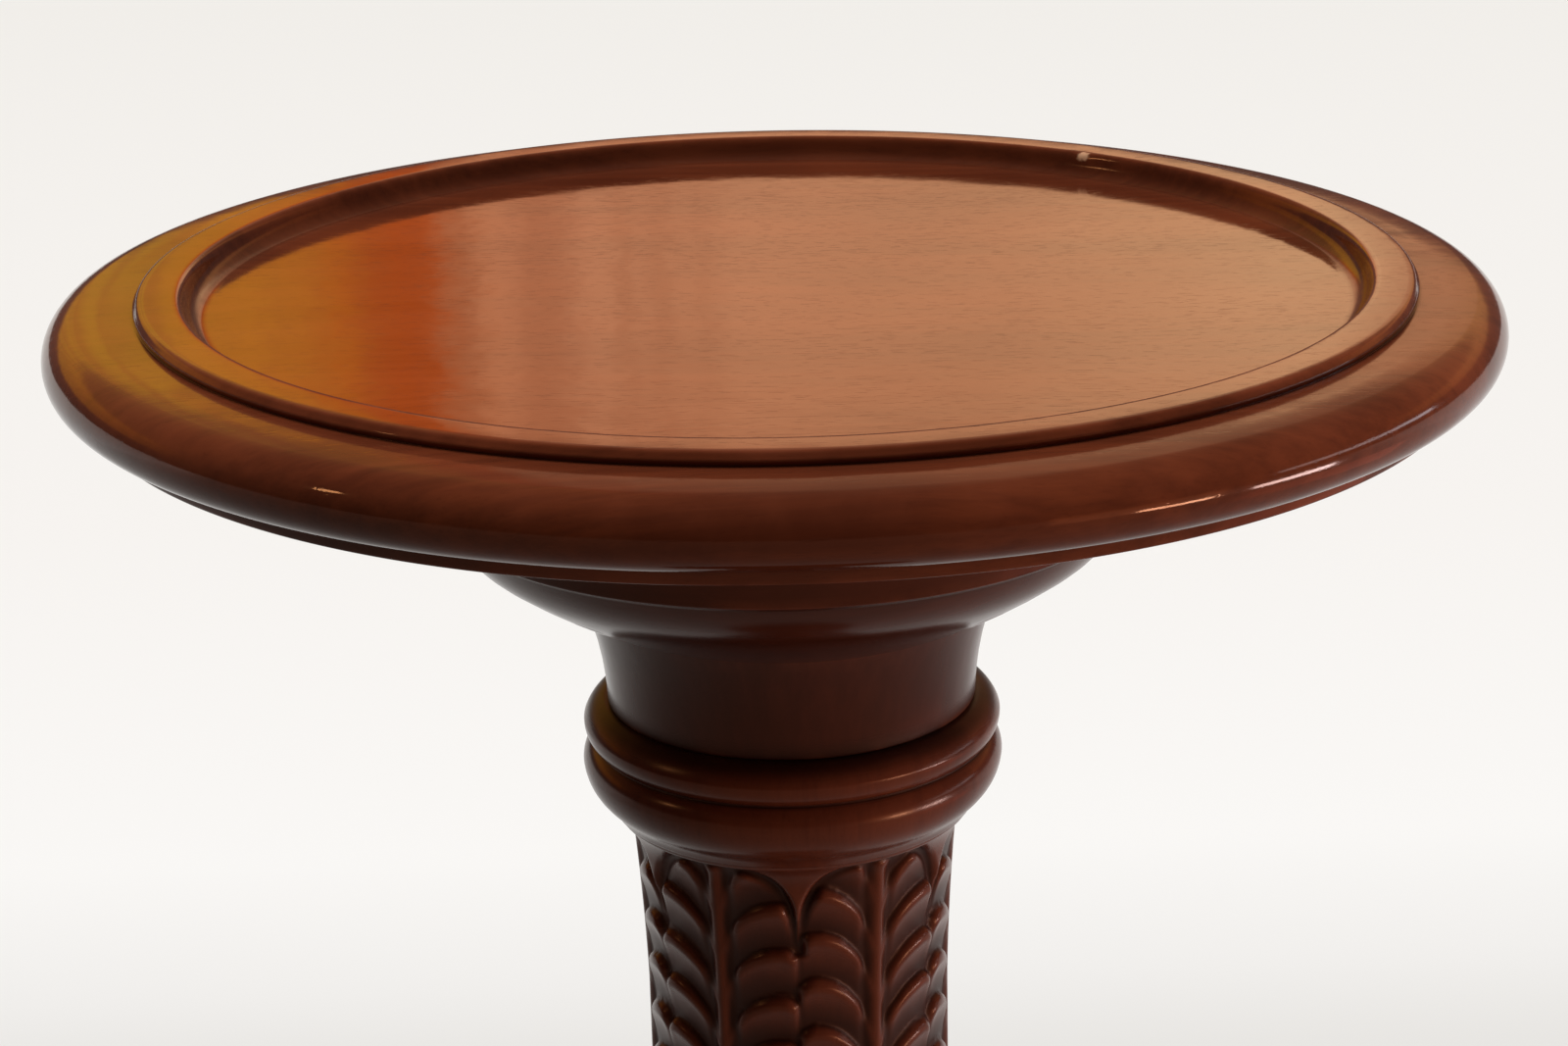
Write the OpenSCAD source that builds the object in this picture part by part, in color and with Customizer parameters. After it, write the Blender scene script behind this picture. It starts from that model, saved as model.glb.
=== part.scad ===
// Torchere stand in polished mahogany: a dished round top over a turned collar,
// a column carved with fronds between two turned rings, and a round plinth on three bun feet.
// The origin is on the floor, on the axis that every turned piece was turned about.

/* [Whole stand] */
// Height of the lip of the top above the floor.
stand_h = 1050; // [850:5:1200]
// Gap left round each spigot, tongue, plug and screw in its hole.
fit_gap = 0.1; // [0.05:0.05:0.3]

/* [Top] */
// Radius of the top where its rounded rim is fullest.
top_r = 160; // [140:1:190]
// Thickness of the top, from the top of its lip to its underside.
top_t = 21.6; // [20:0.2:30]
// Width of the rounded rim outside the lip.
rim_w = 20.1; // [14:0.1:26]
// Drop from the top of the lip to where the rim is fullest.
rim_drop = 11.4; // [9:0.2:13]
// Fall of the nearly flat shoulder of the rim.
rim_shoulder_fall = 0.4; // [0.2:0.1:1.5]
// Width of that shoulder.
rim_shoulder_w = 12; // [8:0.5:13]
// How far the sharp lower edge of the rim stands in from its fullest line.
arris_in = 4; // [2:0.2:6]
// Drop from the top of the lip to that edge.
arris_drop = 17.4; // [15:0.2:19]
// Swelling of the rim between its fullest line and that edge.
rim_under_swell = 1.1; // [0.4:0.1:1.6]
// Fall of the narrow soffit behind that edge.
soffit_fall = 0.5; // [0.2:0.1:1.5]
// How far the plain band under the rim stands in from its fullest line.
band_in = 8.5; // [6:0.5:12]
// Height of the lip above the rim.
lip_h = 2.8; // [2.4:0.1:4.5]
// Width of the flat top of the lip.
lip_w = 9.4; // [6:0.2:14]
// Size of the eased edges of the lip.
lip_ease = 0.6; // [0.2:0.1:0.8]
// Height of the plain outer side of the lip above its bead.
lip_side_h = 1; // [0.8:0.1:1.2]
// How far the small bead at the foot of the lip stands out.
lip_bead_out = 0.6; // [0.3:0.1:0.7]
// Depth of the dish below the top of the lip.
dish_depth = 5.6; // [4.2:0.2:9]
// Width of the hollow moulding between the lip and the dish.
cove_w = 4; // [3:0.1:8]
// Depth of the upright step at the top of that moulding.
cove_step_h = 1.6; // [1:0.2:3]
// Hollowness of that moulding.
cove_sag = 0.8; // [0.3:0.1:1.4]

/* [Under collar] */
// Height of the turned collar under the top.
collar_h = 55.4; // [45:0.2:65]
// Radius of the collar against the top.
collar_r = 92; // [85:1:110]
// Height of the plain fillet against the top.
collar_fillet_h = 5.4; // [3:0.2:8]
// How far the hollow under the fillet steps in.
collar_fillet_in = 3.5; // [2:0.5:5]
// Radius of the collar at its ridge.
ridge_r = 80; // [74:0.5:82]
// Height of the hollow above the ridge.
ridge_hollow_h = 26; // [20:0.5:30]
// Sag of that hollow.
ridge_hollow_sag = 2.5; // [0.5:0.1:5]
// How far the cushion steps in under the ridge.
ridge_step = 1.7; // [0.5:0.1:3]
// Radius of the cushion at its middle.
cushion_mid_r = 70.3; // [65:0.1:74]
// Height of the cushion above its middle.
cushion_mid_h = 10.2; // [8:0.2:13]
// Swelling of the upper cushion.
cushion_swell_top = 0.9; // [0.3:0.1:2]
// Swelling of the lower cushion.
cushion_swell_low = 0.6; // [0.3:0.1:2]
// Radius of the collar at its lower face.
collar_foot_r = 49; // [48:0.2:56]
// Radius of the circle of the screws in the collar.
collar_screw_circle_r = 58; // [52:0.5:62]
// Length of those screws under the head.
collar_screw_l = 38; // [30:1:42]
// How far those screws go into the top.
collar_screw_bite = 9; // [6:0.5:10]
// Radius of the wooden plugs over those screws.
plug_r = 5.5; // [5:0.25:7]
// Height of the flat upper ends of the plugs above the lower face of the collar.
plug_top_h = 15; // [12:0.5:20]

/* [Necks and rings] */
// Height of each hollow neck.
neck_h = 25.5; // [18:0.5:32]
// Radius of a neck at its wide end.
neck_wide_r = 47.5; // [46:0.1:48]
// Radius of a neck at its narrow end.
neck_narrow_r = 42.7; // [40:0.1:43]
// Hollowness of a neck.
neck_sag = 1.1; // [0.3:0.1:2]
// Height of each double ring.
ring_h = 27.5; // [27:0.5:33]
// Radius of a ring against its neck.
ring_head_r = 43.6; // [43:0.1:45]
// Radius of the first roll of a ring.
roll_1_r = 48.4; // [46:0.1:52]
// Distance of the fullest line of the first roll from the neck.
roll_1_d = 4.5; // [3.5:0.1:5.5]
// Radius of the groove between the two rolls.
groove_r = 46; // [44:0.1:47.5]
// Distance of that groove from the neck.
groove_d = 9.6; // [8:0.1:11]
// Radius of the second roll of a ring.
roll_2_r = 48.9; // [46:0.1:53]
// Distance of the fullest line of the second roll from the neck.
roll_2_d = 14.8; // [13:0.1:16]
// Radius where the second roll runs into the slope under it.
slope_r = 45.3; // [44:0.1:47]
// Distance of the start of that slope from the neck.
slope_d = 22.5; // [20:0.1:24]
// Radius of the slope where it meets its fillet.
slope_foot_r = 42.4; // [42:0.1:44]
// Distance of that fillet from the neck.
fillet_d = 26.2; // [25:0.1:26.4]
// Step in and height of that fillet.
ring_fillet = 0.5; // [0.3:0.1:0.6]
// Radius of a ring against the column.
ring_foot_r = 41.4; // [41.2:0.1:41.7]
// Swelling of the rolls of a ring.
roll_swell = 0.8; // [0.4:0.1:1.2]
// Hollowness of the slope of a ring.
slope_sag = 0.3; // [0.1:0.1:1]

/* [Column] */
// Radius of the column against each ring.
column_head_r = 41; // [40:0.1:41.2]
// Length of the flare at each end of the column.
column_flare_l = 7; // [5:0.5:10]
// Radius of the column where that flare begins.
column_end_r = 38.4; // [36:0.1:39]
// Radius of the shaft of the column, over the carving.
shaft_r = 36.3; // [33:0.1:38]
// Length over which the column draws in from its flare to its shaft.
column_sweep_l = 39; // [20:1:80]
// Hollowness of that sweep.
column_sweep_sag = 0.3; // [0.1:0.1:1]
// Radius of the round spigot at each end of the column.
spigot_r = 15; // [12:0.5:18]
// How far the upper spigot goes into the top.
top_mortise_d = 7; // [5:0.5:9]
// Thickness of plinth left under the end of the lower spigot.
spigot_web = 14; // [10:1:18]

/* [Carving] */
// Number of carved fronds round the column.
frond_count = 6; // [5:1:8]
// Height of one leaf of a frond over the next.
leaf_pitch = 12; // [10:0.5:24]
// Length over which the wood climbs out of the cut over a leaf.
leaf_climb = 11; // [8:0.5:22]
// Depth of that cut.
leaf_cut_d = 2; // [1:0.1:3]
// Slope of the edge of a leaf up from its stem, in degrees.
leaf_slope = 33; // [20:1:45]
// Half the width of the stem of a frond.
stem_half_w = 2; // [1:0.1:3]
// Half the width of the ridge between two fronds.
frond_gap = 0.4; // [0.2:0.1:1]
// Radius of the round head of a frond.
frond_head_r = 17; // [10:0.1:18]
// Height left uncut between the fronds and the upper ring, and over the plain lower end.
carving_margin = 1.5; // [1:0.5:4]

/* [Socle and step] */
// Height of the bell-shaped socle.
socle_h = 86; // [60:1:120]
// Radius of the socle under the lower neck.
socle_top_r = 50; // [48:0.5:54]
// Height of the plain fillet at the top of the socle.
socle_fillet_h = 5; // [3:0.5:8]
// Step out under that fillet.
socle_fillet_out = 1; // [0.5:0.5:3]
// Radius of the foot of the hollow of the socle.
bell_r = 84; // [76:0.5:90]
// Drop from the top of the socle to the foot of its hollow.
bell_drop = 48; // [34:1:64]
// Hollowness of the bell.
bell_sag = 9; // [5:0.5:11]
// Step out between the hollow and the cushion of the socle.
bell_step = 2.5; // [1:0.5:4]
// Radius of the foot of the cushion of the socle.
socle_cushion_r = 104; // [96:1:110]
// Drop from the top of the socle to the foot of its cushion.
socle_cushion_drop = 76; // [52:1:100]
// Swelling of that cushion.
socle_cushion_swell = 7; // [4:0.5:9]
// Depth of the quirk under that cushion.
socle_quirk = 2; // [1:0.5:4]
// Radius of the plain foot of the socle.
socle_foot_r = 106; // [98:1:114]
// Height of that foot.
socle_foot_h = 6; // [3:0.5:9]
// Thickness of the round step under the socle.
step_t = 20; // [14:1:30]
// Radius of the half-round edge of the step.
step_r = 128; // [120:1:140]
// How far that half-round stands out.
step_round_out = 8; // [5:0.5:10]
// Height of the plain fillet above and below the half-round.
step_fillet_h = 2.5; // [1:0.5:4]

/* [Plinth] */
// Thickness of the plinth.
plinth_t = 40; // [32:1:50]
// Radius of the plinth where its rounded edge is fullest.
plinth_r = 172; // [160:1:200]
// Width of the rounded edge of the plinth.
plinth_rim_w = 23; // [16:0.5:30]
// Height of the narrow fillet inside that edge.
plinth_fillet_h = 4; // [2:0.5:6]
// Step out at the foot of that fillet.
plinth_fillet_out = 1; // [0.5:0.5:2]
// Width of the shoulder of the edge.
plinth_shoulder_w = 9; // [5:0.5:12]
// Fall of that shoulder.
plinth_shoulder_fall = 1.6; // [0.5:0.1:3]
// Drop from the top of the plinth to where its edge is fullest.
plinth_full_drop = 21; // [16:0.5:26]
// How far the lower edge of the rounding stands in.
plinth_arris_in = 5; // [3:0.5:8]
// Drop from the top of the plinth to that lower edge.
plinth_arris_drop = 33; // [27:0.5:40]
// Swelling of the rounding under its fullest line.
plinth_under_swell = 1.4; // [0.5:0.1:2.5]
// How far the plain band at the bottom stands in.
plinth_band_in = 9; // [6:0.5:14]
// Half the width of the middle board of the plinth.
joint_y = 45; // [36:1:50]
// Thickness of the loose tongues between the boards of the plinth.
tongue_t = 6; // [4:0.5:8]
// How far a tongue goes into each board.
tongue_d = 8; // [6:0.5:10]
// Distance from the edge of the plinth in to the end of a tongue, along its joint.
tongue_stop = 32; // [24:1:60]
// Radius of the circle of the screws in the plinth.
plinth_screw_circle_r = 80; // [72:1:88]
// Length of those screws under the head.
plinth_screw_l = 62; // [50:1:70]
// Radius of the holes that let the heads of those screws in.
counterbore_r = 6; // [5:0.5:8]
// Depth of those holes.
counterbore_d = 22; // [15:1:26]

/* [Fasteners] */
// Number of wood screws in the collar, and in the plinth.
screw_count = 4; // [3:1:6]
// Turn of the first screw in the collar from the right-hand side.
collar_screw_turn = 45; // [0:5:90]
// Turn of the first screw in the plinth from the right-hand side.
plinth_screw_turn = 0; // [0:5:15]
// Radius of the shank of a wood screw.
shank_r = 2.5; // [2:0.1:3]
// Radius of the round head of a wood screw.
head_r = 4.5; // [4:0.1:4.8]
// Height of that head.
head_h = 2.8; // [2:0.1:4]
// Width of the slot in that head.
slot_w = 1; // [0.8:0.1:1.4]
// Radius of the shank of the coach screw.
coach_r = 5; // [4:0.5:6]
// Length of the coach screw under its head.
coach_l = 72; // [50:1:90]
// Width across the flats of its hexagonal head.
coach_head_w = 17; // [13:1:19]
// Height of that head.
coach_head_h = 7; // [5:0.5:8]
// Radius of the washer under that head.
washer_r = 15; // [12:0.5:18]
// Thickness of that washer.
washer_t = 2.5; // [1.5:0.5:4]
// Room round the washer in its hole.
washer_room = 2; // [1:0.5:4]

/* [Feet] */
// Height of a bun foot.
foot_h = 42; // [34:1:60]
// Radius of a bun foot where it is fullest.
foot_r = 36; // [28:1:37]
// Drop from the top of a foot to where it is fullest.
foot_full_drop = 24; // [20:1:30]
// Radius of the collar at the top of a foot.
foot_collar_r = 28; // [22:1:30]
// Height of that collar.
foot_collar_h = 6; // [4:0.5:9]
// Radius of the waist under that collar.
foot_waist_r = 24; // [18:0.5:27]
// Depth of the quirk between the collar and the bun.
foot_quirk_h = 2; // [1:0.5:4]
// Radius of the underside of a foot.
foot_sole_r = 20; // [14:1:24]
// Radius of the spigot of a foot.
foot_spigot_r = 11; // [9:0.5:12]
// Length of that spigot.
foot_spigot_l = 22; // [16:1:28]
// Distance from the edge of the plinth in to the middle of a foot.
foot_inset = 37; // [36:1:44]
// Thickness of the nailed glide under a foot.
glide_t = 4; // [2:0.5:6]
// Radius of that glide.
glide_r = 13; // [10:0.5:16]
// Size of the eased lower edge of that glide.
glide_ease = 1.5; // [0.5:0.1:2]
// Radius of the nail of that glide.
nail_r = 1.5; // [1:0.1:2]
// Length of that nail.
nail_l = 14; // [10:1:20]

/* [Hidden] */
$fn = 96;
steps = 10;
sliver = 0.01;
wood = [0.30, 0.09, 0.05];
dark_wood = [0.22, 0.06, 0.03];
steel = [0.55, 0.55, 0.56];

lip_out_r = top_r - rim_w;
lip_in_r = lip_out_r - lip_w;
dish_r = lip_in_r - cove_w;
band_r = top_r - band_in;

board_z = stand_h - top_t;
collar_z = board_z - collar_h;
ring_top_z = collar_z - neck_h;
column_top_z = ring_top_z - ring_h;
plinth_z = glide_t + foot_h;
step_z = plinth_z + plinth_t;
socle_z = step_z + step_t;
low_neck_z = socle_z + socle_h;
low_ring_z = low_neck_z + neck_h;
column_z = low_ring_z + ring_h;
column_l = column_top_z - column_z;

carving_z = column_z + column_flare_l + carving_margin;
carving_top_z = column_top_z - carving_margin;
frond_head_z = carving_top_z - frond_head_r;
leaf_count = floor((carving_top_z - carving_z) / leaf_pitch);
// How far the cuts of the carving run out past the wood.
cut_room = 6;
cut_far_r = column_head_r + cut_room;

spigot_top_z = board_z + top_mortise_d;
washer_z = plinth_z + washer_t + coach_head_h + washer_room;
spigot_low_z = washer_z + spigot_web;
collar_head_z = board_z + collar_screw_bite - collar_screw_l;
plinth_head_z = plinth_z + counterbore_d;
tongue_z = plinth_z + plinth_t / 2;
tongue_half_l = plinth_r - tongue_stop;
foot_circle_r = plinth_r - foot_inset;

foot_angles = [-90, 30, 150];

// Outline helpers
// Each outline is a list of [radius, height] points that runs from the axis outward,
// down the outside and back to the axis, so the wood is on its right-hand side.

// Points after a, up to b, bowed out by the given swelling; a negative swelling is a hollow.
function bow(a, b, swelling) = [
    for (i = [1:steps])
        let (t = i / steps, d = b - a, side = [-d[1], d[0]] / norm(d))
            a + d * t + side * swelling * 4 * t * (1 - t)
];

// Quarter of an ellipse that leaves a level and reaches b upright.
function swell(a, b) = [
    for (i = [1:steps])
        let (t = 90 * i / steps) [a[0] + (b[0] - a[0]) * sin(t), b[1] + (a[1] - b[1]) * cos(t)]
];

// Quarter of an ellipse that leaves a upright and reaches b level.
function tuck(a, b) = [
    for (i = [1:steps])
        let (t = 90 * i / steps) [b[0] + (a[0] - b[0]) * cos(t), a[1] + (b[1] - a[1]) * sin(t)]
];

module turned(outline) {
    rotate_extrude() polygon(outline);
}

// Round hole from one height up to another, with the fitting gap.
module hole(r, z_low, z_high) {
    translate([0, 0, z_low]) cylinder(r = r + fit_gap, h = z_high - z_low);
}

// Children repeated round a circle.
module round_circle(r, count, start) {
    for (i = [0:count - 1]) rotate([0, 0, start + i * 360 / count]) translate([r, 0, 0]) children();
}

// Round-headed wood screw pointing up, with the underside of its head at the origin.
module wood_screw(l) {
    tip_l = 3 * shank_r;
    cylinder(r = shank_r, h = l - tip_l);
    translate([0, 0, l - tip_l]) cylinder(r1 = shank_r, r2 = shank_r / 4, h = tip_l);
    difference() {
        translate([0, 0, -head_h]) cylinder(r1 = head_r - slot_w, r2 = head_r, h = head_h);
        translate([-head_r, -slot_w / 2, -head_h - sliver]) cube([2 * head_r, slot_w, head_h / 2]);
    }
}

module spigot_hole() {
    hole(spigot_r, spigot_low_z, spigot_top_z + fit_gap);
}

// Top

module top() {
    lip_foot = [lip_out_r, -lip_h];
    shoulder = [lip_out_r + rim_shoulder_w, -lip_h - rim_shoulder_fall];
    fullest = [top_r, -rim_drop];
    arris = [top_r - arris_in, -arris_drop];
    floor_edge = [dish_r, -dish_depth];
    bead_r = lip_out_r + lip_bead_out;
    bead_low = lip_h - lip_bead_out;
    outline = concat(
        [[0, -dish_depth], floor_edge],
        bow(floor_edge, [lip_in_r - lip_ease, -cove_step_h], -cove_sag),
        [[lip_in_r, -lip_ease / 2], [lip_in_r + lip_ease, 0], [lip_out_r - lip_ease, 0]],
        [[lip_out_r, -lip_ease], [lip_out_r, -lip_side_h]],
        [[bead_r, -lip_side_h - lip_bead_out / 2], [bead_r, -bead_low], lip_foot],
        [shoulder],
        swell(shoulder, fullest),
        bow(fullest, arris, rim_under_swell),
        [[band_r, -arris_drop - soffit_fall], [band_r, -top_t], [0, -top_t]]
    );
    color(wood) difference() {
        translate([0, 0, stand_h]) turned(outline);
        spigot_hole();
        round_circle(collar_screw_circle_r, screw_count, collar_screw_turn)
            hole(shank_r, collar_head_z, board_z + collar_screw_bite);
    }
}

// Under collar

module collar_body() {
    hollow_top = [collar_r - collar_fillet_in, -collar_fillet_h];
    ridge = [ridge_r, -collar_fillet_h - ridge_hollow_h];
    cushion_top = ridge - [ridge_step, ridge_step / 2];
    cushion_mid = [cushion_mid_r, cushion_top[1] - cushion_mid_h];
    cushion_foot = [collar_foot_r, -collar_h];
    outline = concat(
        [[0, 0], [collar_r, 0], [collar_r, -collar_fillet_h], hollow_top],
        bow(hollow_top, ridge, -ridge_hollow_sag),
        [cushion_top],
        bow(cushion_top, cushion_mid, cushion_swell_top),
        bow(cushion_mid, cushion_foot, cushion_swell_low),
        [[0, -collar_h]]
    );
    translate([0, 0, board_z]) turned(outline);
}

module under_collar() {
    color(dark_wood) difference() {
        collar_body();
        spigot_hole();
        round_circle(collar_screw_circle_r, screw_count, collar_screw_turn) {
            hole(shank_r, collar_head_z, board_z + sliver);
            hole(plug_r, collar_z - sliver, collar_head_z);
        }
    }
}

module collar_screws() {
    color(steel) round_circle(collar_screw_circle_r, screw_count, collar_screw_turn)
        translate([0, 0, collar_head_z]) wood_screw(collar_screw_l - fit_gap);
}

module collar_plugs() {
    color(dark_wood) intersection() {
        collar_body();
        round_circle(collar_screw_circle_r, screw_count, collar_screw_turn)
            translate([0, 0, collar_z]) cylinder(r = plug_r, h = plug_top_h);
    }
}

// Necks and rings

module neck_body() {
    wide = [neck_wide_r, 0];
    narrow = [neck_narrow_r, -neck_h];
    turned(concat([[0, 0], wide], bow(wide, narrow, -neck_sag), [[0, -neck_h]]));
}

module neck() {
    color(dark_wood) difference() {
        translate([0, 0, collar_z]) neck_body();
        spigot_hole();
    }
}

module lower_neck() {
    color(dark_wood) difference() {
        translate([0, 0, low_neck_z]) mirror([0, 0, 1]) neck_body();
        spigot_hole();
    }
}

module ring_body() {
    head = [ring_head_r, 0];
    roll_1 = [roll_1_r, -roll_1_d];
    groove = [groove_r, -groove_d];
    roll_2 = [roll_2_r, -roll_2_d];
    slope = [slope_r, -slope_d];
    slope_foot = [slope_foot_r, -fillet_d];
    fillet_r = slope_foot_r - ring_fillet;
    turned(concat(
        [[0, 0], head],
        bow(head, roll_1, roll_swell),
        bow(roll_1, groove, roll_swell),
        bow(groove, roll_2, roll_swell),
        bow(roll_2, slope, roll_swell),
        bow(slope, slope_foot, -slope_sag),
        [[fillet_r, -fillet_d], [fillet_r, -fillet_d - ring_fillet]],
        [[ring_foot_r, -ring_h], [0, -ring_h]]
    ));
}

module upper_ring() {
    color(wood) difference() {
        translate([0, 0, ring_top_z]) ring_body();
        spigot_hole();
    }
}

module lower_ring() {
    color(wood) difference() {
        translate([0, 0, low_ring_z]) mirror([0, 0, 1]) ring_body();
        spigot_hole();
    }
}

// Column

// Radius of the uncut column at a height above the floor.
function girth(z) =
    let (from_end = min(column_top_z - z, z - column_z),
         flare = max(1 - from_end / column_flare_l, 0),
         t = min(max((from_end - column_flare_l) / column_sweep_l, 0), 1))
        column_end_r + (column_head_r - column_end_r) * pow(flare, 2)
        + (shaft_r - column_end_r) * t - column_sweep_sag * 4 * t * (1 - t);

// The cuts over the leaves on one side of a stem, which stands at angle 0.
module leaf_cuts() {
    climb_angle = atan(leaf_cut_d / leaf_climb);
    for (i = [0:leaf_count])
        let (z = carving_z + i * leaf_pitch)
            rotate([0, 0, 90 / frond_count]) translate([girth(z) - leaf_cut_d, 0, z])
                rotate([leaf_slope, 0, 0]) rotate([0, climb_angle, 0])
                    translate([0, -column_end_r / 2, 0]) cube([cut_room, column_end_r, leaf_climb]);
}

// The ground of the leaves on one side of a stem, out to the edge of the frond.
module leaf_ground() {
    core_r = shaft_r / 2;
    widening = tan(180 / frond_count);
    translate([0, 0, carving_z]) linear_extrude(height = carving_top_z - carving_z) polygon([
        [core_r, stem_half_w], [cut_far_r, stem_half_w],
        [cut_far_r, cut_far_r * widening - frond_gap], [core_r, core_r * widening - frond_gap]
    ]);
}

// The outline of a frond seen from the front: straight sides under a round head.
module frond_outline() {
    translate([0, -cut_far_r, column_z]) cube([cut_far_r, 2 * cut_far_r, frond_head_z - column_z]);
    translate([0, 0, frond_head_z]) rotate([0, 90, 0]) cylinder(r = frond_head_r, h = cut_far_r);
}

module frond() {
    for (side = [0, 1]) mirror([0, side, 0]) intersection() {
        leaf_cuts();
        leaf_ground();
        frond_outline();
    }
}

module column() {
    flare_sag = (column_head_r - column_end_r) / 4;
    upper_head = [column_head_r, 0];
    upper_end = [column_end_r, -column_flare_l];
    upper_shaft = [shaft_r, -column_flare_l - column_sweep_l];
    lower_shaft = [shaft_r, column_flare_l + column_sweep_l - column_l];
    lower_end = [column_end_r, column_flare_l - column_l];
    lower_head = [column_head_r, -column_l];
    outline = concat(
        [[0, 0], upper_head],
        bow(upper_head, upper_end, -flare_sag),
        bow(upper_end, upper_shaft, -column_sweep_sag),
        [lower_shaft],
        bow(lower_shaft, lower_end, -column_sweep_sag),
        bow(lower_end, lower_head, -flare_sag),
        [[0, -column_l]]
    );
    color(wood) difference() {
        union() {
            translate([0, 0, column_top_z]) turned(outline);
            translate([0, 0, spigot_low_z]) cylinder(r = spigot_r, h = spigot_top_z - spigot_low_z);
        }
        hole(coach_r, spigot_low_z - sliver, washer_z + coach_l);
        for (i = [0:frond_count - 1]) rotate([0, 0, (i + 0.5) * 360 / frond_count - 90]) frond();
    }
}

// Socle and step

module socle() {
    bell_top = [socle_top_r + socle_fillet_out, -socle_fillet_h];
    bell_foot = [bell_r, -bell_drop];
    cushion_top = bell_foot + [bell_step, -bell_step / 2];
    cushion_foot = [socle_cushion_r, -socle_cushion_drop];
    quirk_r = socle_cushion_r - socle_quirk;
    foot_top = socle_foot_h - socle_h;
    outline = concat(
        [[0, 0], [socle_top_r, 0], [socle_top_r, -socle_fillet_h], bell_top],
        bow(bell_top, bell_foot, -bell_sag),
        [cushion_top],
        bow(cushion_top, cushion_foot, socle_cushion_swell),
        [[quirk_r, -socle_cushion_drop - socle_quirk], [quirk_r, foot_top]],
        [[socle_foot_r, foot_top], [socle_foot_r, -socle_h], [0, -socle_h]]
    );
    color(dark_wood) difference() {
        translate([0, 0, low_neck_z]) turned(outline);
        spigot_hole();
        round_circle(plinth_screw_circle_r, screw_count, plinth_screw_turn)
            hole(shank_r, socle_z - sliver, plinth_head_z + plinth_screw_l);
    }
}

module step_disc() {
    plain_r = step_r - step_round_out;
    round_top = [plain_r, -step_fillet_h];
    fullest = [step_r, -step_t / 2];
    round_foot = [plain_r, step_fillet_h - step_t];
    outline = concat(
        [[0, 0], [plain_r, 0], round_top],
        swell(round_top, fullest),
        tuck(fullest, round_foot),
        [[plain_r, -step_t], [0, -step_t]]
    );
    color(wood) difference() {
        translate([0, 0, socle_z]) turned(outline);
        spigot_hole();
        round_circle(plinth_screw_circle_r, screw_count, plinth_screw_turn)
            hole(shank_r, step_z - sliver, socle_z + sliver);
    }
}

// Plinth

module tongue(gap) {
    translate([-tongue_half_l - gap, -tongue_d - gap, tongue_z - tongue_t / 2 - gap])
        cube([2 * (tongue_half_l + gap), 2 * (tongue_d + gap), tongue_t + 2 * gap]);
}

module each_foot() {
    for (angle = foot_angles) rotate([0, 0, angle]) translate([foot_circle_r, 0, 0]) children();
}

module plinth_body() {
    fillet_r = plinth_r - plinth_rim_w;
    rim_top = [fillet_r + plinth_fillet_out, -plinth_fillet_h];
    shoulder = rim_top + [plinth_shoulder_w, -plinth_shoulder_fall];
    fullest = [plinth_r, -plinth_full_drop];
    arris = [plinth_r - plinth_arris_in, -plinth_arris_drop];
    low_band_r = plinth_r - plinth_band_in;
    outline = concat(
        [[0, 0], [fillet_r, 0], [fillet_r, -plinth_fillet_h], rim_top, shoulder],
        swell(shoulder, fullest),
        bow(fullest, arris, plinth_under_swell),
        [[low_band_r, -plinth_arris_drop - plinth_fillet_out], [low_band_r, -plinth_t], [0, -plinth_t]]
    );
    difference() {
        translate([0, 0, step_z]) turned(outline);
        spigot_hole();
        hole(washer_r + washer_room, plinth_z - sliver, washer_z);
        hole(coach_r, washer_z - sliver, spigot_low_z + sliver);
        round_circle(plinth_screw_circle_r, screw_count, plinth_screw_turn) {
            hole(counterbore_r, plinth_z - sliver, plinth_head_z);
            hole(shank_r, plinth_head_z - sliver, step_z + sliver);
        }
        each_foot() hole(foot_spigot_r, plinth_z - sliver, plinth_z + foot_spigot_l);
        for (side = [-1, 1]) translate([0, side * joint_y, 0]) tongue(fit_gap);
    }
}

// Slab of the plinth between two lines that run left to right.
module plinth_slab(y_front, y_back) {
    intersection() {
        plinth_body();
        translate([-plinth_r - 1, y_front, plinth_z]) cube([2 * plinth_r + 2, y_back - y_front, plinth_t]);
    }
}

module plinth_front_board() {
    color(wood) plinth_slab(-plinth_r - 1, -joint_y);
}

module plinth_middle_board() {
    color(wood) plinth_slab(-joint_y, joint_y);
}

module plinth_back_board() {
    color(wood) plinth_slab(joint_y, plinth_r + 1);
}

module plinth_tongues() {
    color(dark_wood) for (side = [-1, 1]) translate([0, side * joint_y, 0]) tongue(0);
}

module plinth_screws() {
    color(steel) round_circle(plinth_screw_circle_r, screw_count, plinth_screw_turn)
        translate([0, 0, plinth_head_z]) wood_screw(plinth_screw_l - fit_gap);
}

module coach_washer() {
    color(steel) translate([0, 0, washer_z - washer_t]) difference() {
        cylinder(r = washer_r, h = washer_t);
        translate([0, 0, -sliver]) cylinder(r = coach_r + fit_gap, h = washer_t + 2 * sliver);
    }
}

module coach_screw() {
    head_z = washer_z - washer_t;
    color(steel) {
        translate([0, 0, head_z - coach_head_h])
            cylinder(r = coach_head_w / 2 / cos(30), h = coach_head_h, $fn = 6);
        translate([0, 0, head_z]) cylinder(r = coach_r, h = coach_l - coach_r);
        translate([0, 0, head_z + coach_l - coach_r]) cylinder(r1 = coach_r, r2 = coach_r / 3, h = coach_r);
    }
}

// Feet

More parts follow.
